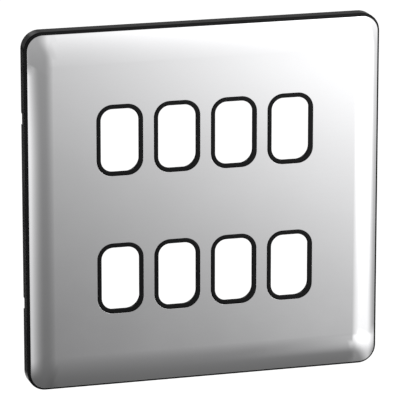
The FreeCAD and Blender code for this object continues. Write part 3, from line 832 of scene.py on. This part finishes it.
def studio_rise(tree, turn, height):
    """How the levels change upward, as a power of e: they grow in straight stretches, mostly
    between heights -17.1 and -12.7, and fall back above 10. On the left they change less."""
    rise = stepped(tree, height, -17.1, -12.7, -0.59, 0.3, smooth=False)
    for start, end, first, last, smooth in (
        (-60, -17.1, -1.06, 0, False),
        (-12.7, 25, 0, 0.657, False),
        (10, 24, 0, -0.8, True),
    ):
        stretch = stepped(tree, height, start, end, first, last, smooth)
        rise = math_node(tree, "ADD", rise, stretch)
    return faded(tree, rise, (turn, 2, 13, 0.644, 1))


def studio_behind(tree, right, height):
    """The room behind the plate, by how far a direction points right: grey, nearly black low
    on the left, with a lamp on the far right and a narrow bright door near the middle."""
    grey, black = 0.18, 0.02
    left = stepped(tree, right, -0.1, -0.2, 0, 1)
    darker = math_node(tree, "SUBTRACT", stepped(tree, height, -4, -9, grey, black), grey)
    shade = math_node(tree, "MULTIPLY_ADD", darker, left, grey)
    lamp = stepped(tree, right, 0.3, 0.8, 0, 0.6)
    door = faded(tree, stepped(tree, right, 0.2, -0.08, 0, 0.4), (right, -0.08, -0.2, 1, 0))
    return math_node(tree, "ADD", shade, math_node(tree, "ADD", lamp, door))


def studio_level(tree):
    """How bright the studio is in a direction, for reflections.

    The turn is the arc tangent of x over -y, to the right of straight ahead, and the height is
    the arc sine of z. In front the level is the across level times e to the power of the rise,
    with a bright patch at the panel's foot and some light far below. Where y goes from 0.3 to
    0.6 it changes to the level of the room behind.
    """
    where = tree.nodes.new("ShaderNodeTexCoord")
    parts = tree.nodes.new("ShaderNodeSeparateXYZ")
    tree.links.new(where.outputs["Generated"], parts.inputs["Vector"])
    right = parts.outputs["X"]
    ahead = math_node(tree, "MULTIPLY", parts.outputs["Y"], -1.0)
    turn = math_node(tree, "DEGREES", math_node(tree, "ARCTAN2", right, ahead))
    height = math_node(tree, "DEGREES", math_node(tree, "ARCSINE", parts.outputs["Z"]))
    gain = math_node(tree, "EXPONENT", studio_rise(tree, turn, height))
    level = math_node(tree, "MULTIPLY", studio_across(tree, turn, height), gain)
    foot = faded(
        tree, stepped(tree, turn, 17.5, 21.5, 0, 0.426),
        (height, -16, -20, 0, 1),
        (height, -22, -33.2, 1, 0),
        (turn, 50, 60, 1, 0),
    )
    level = math_node(tree, "ADD", level, foot)
    level = math_node(tree, "ADD", level, stepped(tree, height, -44, -70, 0, 0.35))
    change = math_node(tree, "SUBTRACT", studio_behind(tree, right, height), level)
    behind = stepped(tree, parts.outputs["Y"], 0.3, 0.6, 0, 1)
    return math_node(tree, "MULTIPLY_ADD", change, behind, level)


def make_world(settings, reflectance):
    """White to the camera and to transmitted rays, the studio in reflections, even elsewhere.

    The studio's levels are those that the plate shows, so they are divided by its reflectance.
    """
    world = bpy.data.worlds.new("studio")
    bpy.context.scene.world = world
    world.use_nodes = True
    tree = world.node_tree
    background = tree.nodes["Background"]
    path = tree.nodes.new("ShaderNodeLightPath")
    studio = math_node(tree, "DIVIDE", studio_level(tree), reflectance)
    gap = math_node(tree, "SUBTRACT", studio, settings.ambient)
    level = math_node(tree, "MULTIPLY_ADD", gap, path.outputs["Is Glossy Ray"], settings.ambient)
    seen = math_node(
        tree, "MAXIMUM", path.outputs["Is Camera Ray"], path.outputs["Is Transmission Ray"]
    )
    rest = math_node(tree, "SUBTRACT", 1.0, level)
    tree.links.new(math_node(tree, "MULTIPLY_ADD", rest, seen, level), background.inputs["Color"])


def floor_material(strength):
    """White to the camera by a little glow of its own, so that a shadow still darkens it."""
    material = bpy.data.materials.new("studio_floor")
    material.use_nodes = True
    tree = material.node_tree
    tree.nodes.clear()
    path = tree.nodes.new("ShaderNodeLightPath")
    matt = tree.nodes.new("ShaderNodeBsdfDiffuse")
    matt.inputs["Color"].default_value = (FLOOR_GREY, FLOOR_GREY, FLOOR_GREY, 1)
    glow = tree.nodes.new("ShaderNodeEmission")
    seen = math_node(tree, "MULTIPLY", path.outputs["Is Camera Ray"], strength)
    tree.links.new(seen, glow.inputs["Strength"])
    both = tree.nodes.new("ShaderNodeAddShader")
    tree.links.new(matt.outputs[0], both.inputs[0])
    tree.links.new(glow.outputs[0], both.inputs[1])
    clear = tree.nodes.new("ShaderNodeBsdfTransparent")
    geometry = tree.nodes.new("ShaderNodeNewGeometry")
    choose = tree.nodes.new("ShaderNodeMixShader")
    tree.links.new(geometry.outputs["Backfacing"], choose.inputs[0])
    tree.links.new(both.outputs[0], choose.inputs[1])
    tree.links.new(clear.outputs[0], choose.inputs[2])
    output = tree.nodes.new("ShaderNodeOutputMaterial")
    tree.links.new(choose.outputs[0], output.inputs["Surface"])
    return material


def make_floor(settings):
    """A level floor well below the plate."""
    corners = np.array([[-1, -1, 0], [1, -1, 0], [1, 1, 0], [-1, 1, 0]]) * settings.floor_reach
    corners[:, 2] = settings.floor_level
    material = floor_material(settings.floor_glow)
    floor = new_piece("floor", corners, np.array([[0, 1, 2, 3]]), [material])
    floor.visible_glossy = False


def make_lamp(settings):
    """One large soft lamp above and to the right, which no reflection shows."""
    light = bpy.data.lights.new("softbox", "AREA")
    light.shape = "SQUARE"
    light.size = settings.lamp_size
    light.energy = settings.lamp_power
    lamp = bpy.data.objects.new("softbox", light)
    lamp.location = settings.lamp_place
    lamp.rotation_euler = (-lamp.location).to_track_quat("-Z", "Y").to_euler()
    lamp.visible_glossy = False
    bpy.context.scene.collection.objects.link(lamp)


def make_camera(settings):
    """A camera at an azimuth, elevation and distance from the point it is aimed at."""
    turn, rise = settings.azimuth, settings.elevation
    direction = Vector((
        math.sin(turn) * math.cos(rise), -math.cos(turn) * math.cos(rise), math.sin(rise)
    ))
    data = bpy.data.cameras.new("camera")
    data.sensor_width = SENSOR_WIDTH
    data.lens = settings.lens
    camera = bpy.data.objects.new("camera", data)
    camera.location = Vector(settings.aim) + settings.distance * direction
    camera.rotation_euler = direction.to_track_quat("Z", "Y").to_euler()
    bpy.context.scene.collection.objects.link(camera)
    bpy.context.scene.camera = camera


# Operators

class SWITCHPLATE_OT_front_plate(bpy.types.Operator):
    """Build the polished front plate as one closed sheet"""

    bl_idname = "switch_plate.front_plate"
    bl_label = "Front plate"

    def execute(self, context):
        sizes = context.scene.plate_sizes
        colour = tuple(context.scene.plate_finishes.plate)
        points, normals, faces, slots = plate_surface(sizes)
        materials = [polished_plate(colour), cut_edge(colour)]
        piece = new_piece("polished_front", points, faces, materials, normals, slots)
        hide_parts("front_plate")
        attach(piece, "root")
        return {"FINISHED"}


class SWITCHPLATE_OT_moulding(bpy.types.Operator):
    """Finish the black inner frame"""

    bl_idname = "switch_plate.moulding"
    bl_label = "Black moulding"

    def execute(self, context):
        dress("inner_frame", black_moulding(tuple(context.scene.plate_finishes.moulding)))
        return {"FINISHED"}


class SWITCHPLATE_OT_yoke(bpy.types.Operator):
    """Finish the steel yoke and the earth terminal behind it"""

    bl_idname = "switch_plate.yoke"
    bl_label = "Yoke and terminal"

    def execute(self, context):
        finishes = context.scene.plate_finishes
        dress("grid_yoke", zinc_plate(tuple(finishes.zinc)))
        dress("earth_terminal", terminal_brass(tuple(finishes.brass)))
        return {"FINISHED"}


class SWITCHPLATE_OT_screws(bpy.types.Operator):
    """Thread the fixing screws and finish all the screws"""

    bl_idname = "switch_plate.screws"
    bl_label = "Screws"

    def execute(self, context):
        nickel = nickel_plate(tuple(context.scene.plate_finishes.nickel))
        points, faces = screws_surface(context.scene.screw_sizes)
        piece = new_piece("threaded_screws", points, faces, [nickel])
        piece.data.set_sharp_from_angle(angle=SHARP_EDGE)
        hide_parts("fixing_screws")
        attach(piece, "root")
        dress("earth_screw", nickel)
        return {"FINISHED"}


class SWITCHPLATE_OT_stage(bpy.types.Operator):
    """Set up the studio: camera, floor, lamp and surroundings"""

    bl_idname = "switch_plate.stage"
    bl_label = "Stage"

    def execute(self, context):
        settings = context.scene.plate_stage
        make_camera(settings)
        make_floor(settings)
        make_lamp(settings)
        make_world(settings, context.scene.plate_finishes.plate[0])
        context.scene.view_settings.view_transform = "Standard"
        return {"FINISHED"}


class SWITCHPLATE_PT_sidebar(bpy.types.Panel):
    """Steps and settings of the switch plate"""

    bl_label = "Switch Plate"
    bl_idname = "SWITCHPLATE_PT_sidebar"
    bl_space_type = "VIEW_3D"
    bl_region_type = "UI"
    bl_category = "Switch Plate"

    def draw(self, context):
        for name in GROUPS:
            group = getattr(context.scene, name)
            box = self.layout.box()
            for setting in group.bl_rna.properties:
                if setting.identifier not in ("rna_type", "name"):
                    box.prop(group, setting.identifier)
        for step in STEPS:
            self.layout.operator(step.bl_idname)


GROUPS = {
    "plate_sizes": PlateSizes,
    "screw_sizes": ScrewSizes,
    "plate_finishes": FinishColours,
    "plate_stage": StageSettings,
}
STEPS = (
    SWITCHPLATE_OT_front_plate,
    SWITCHPLATE_OT_moulding,
    SWITCHPLATE_OT_yoke,
    SWITCHPLATE_OT_screws,
    SWITCHPLATE_OT_stage,
)


def register():
    """Make the settings, steps and panel known, and put the settings on the scene."""
    for group in GROUPS.values():
        bpy.utils.register_class(group)
    for step in STEPS:
        bpy.utils.register_class(step)
    bpy.utils.register_class(SWITCHPLATE_PT_sidebar)
    for name, group in GROUPS.items():
        setattr(bpy.types.Scene, name, PointerProperty(type=group))


def unregister():
    """Take the settings, the panel and the steps out again."""
    for name in GROUPS:
        delattr(bpy.types.Scene, name)
    bpy.utils.unregister_class(SWITCHPLATE_PT_sidebar)
    for step in reversed(STEPS):
        bpy.utils.unregister_class(step)
    for group in reversed(GROUPS.values()):
        bpy.utils.unregister_class(group)


def main():
    """Build the plate and its stage in order."""
    register()
    bpy.ops.switch_plate.front_plate()
    bpy.ops.switch_plate.moulding()
    bpy.ops.switch_plate.yoke()
    bpy.ops.switch_plate.screws()
    bpy.ops.switch_plate.stage()


if __name__ == "__main__":
    main()
